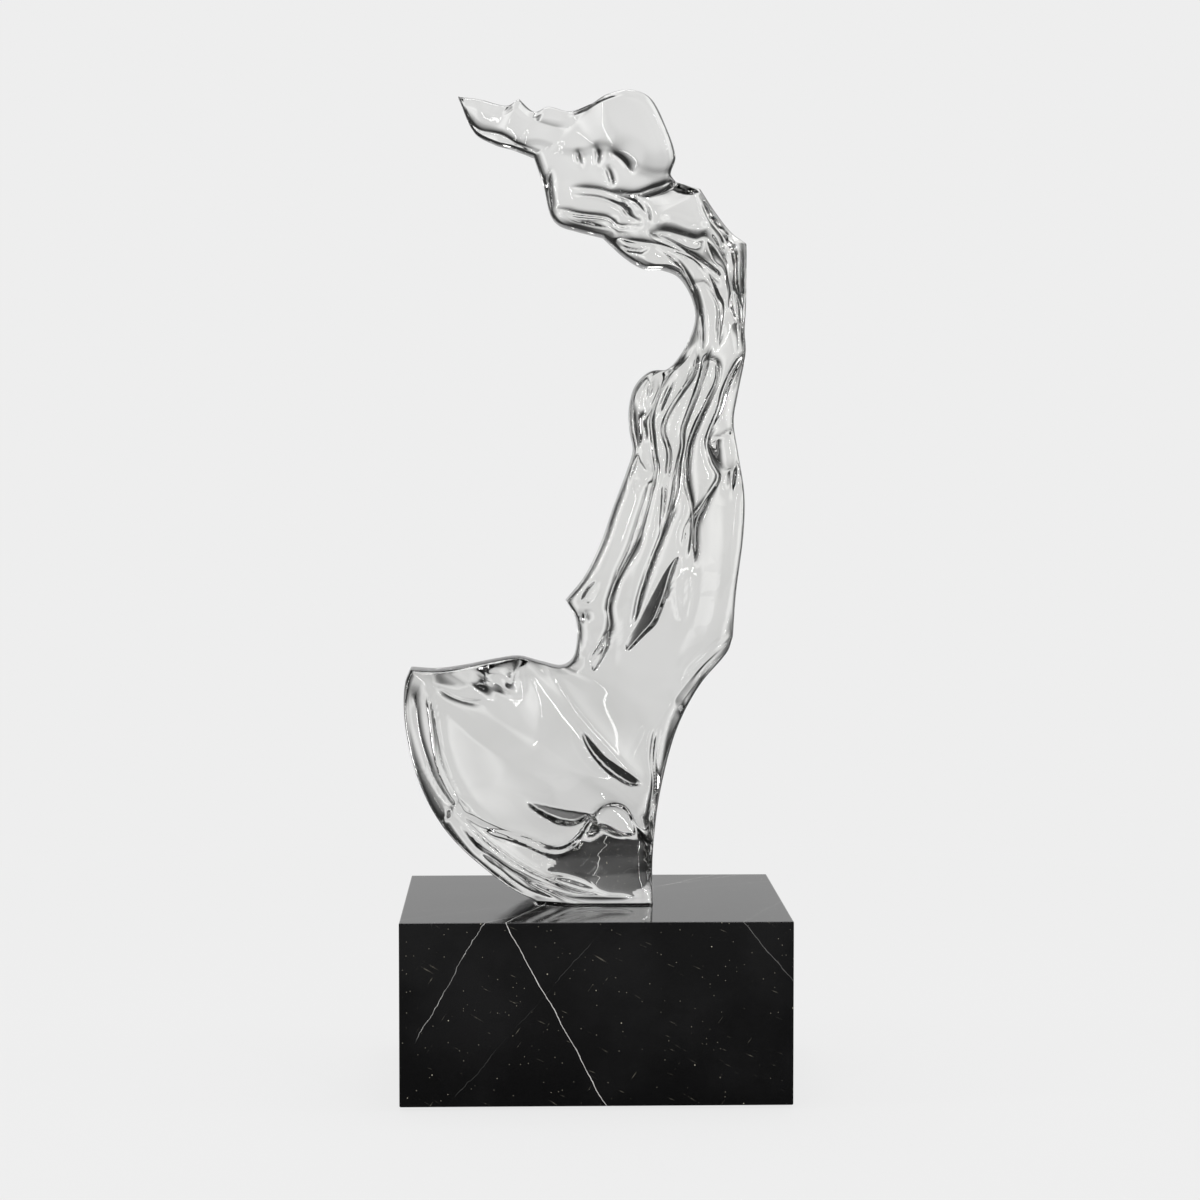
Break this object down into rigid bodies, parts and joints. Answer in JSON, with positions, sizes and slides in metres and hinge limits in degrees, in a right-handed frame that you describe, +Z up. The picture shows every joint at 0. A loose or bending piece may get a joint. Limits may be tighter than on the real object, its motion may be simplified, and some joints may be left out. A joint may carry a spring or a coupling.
{
  "type": "abstract sculpture",
  "caption": "Abstract clear cast sculpture, a fluted wave rising to a rounded crown with a pointed bill, on a polished black marble block.",
  "frame": {"origin": "centre of the plinth's footprint, on the surface that the felt pads stand on", "axes": "+Z up; +X to the right as seen from the front; the front faces -Y"},
  "size_m": [0.2, 0.16, 0.5226],
  "materials": {
    "black_marble": "polished black marble with fine white veins",
    "clear_resin": "water-clear casting, polished all over",
    "clear_adhesive": "clear set adhesive",
    "felt": "dense black felt"
  },
  "bodies": {
    "root": {"marble_plinth": "black_marble", "clear_form": "clear_resin", "bond_film": "clear_adhesive", "felt_pad_front_left": "felt", "felt_pad_front_right": "felt", "felt_pad_back_left": "felt", "felt_pad_back_right": "felt"}
  },
  "joints": []
}
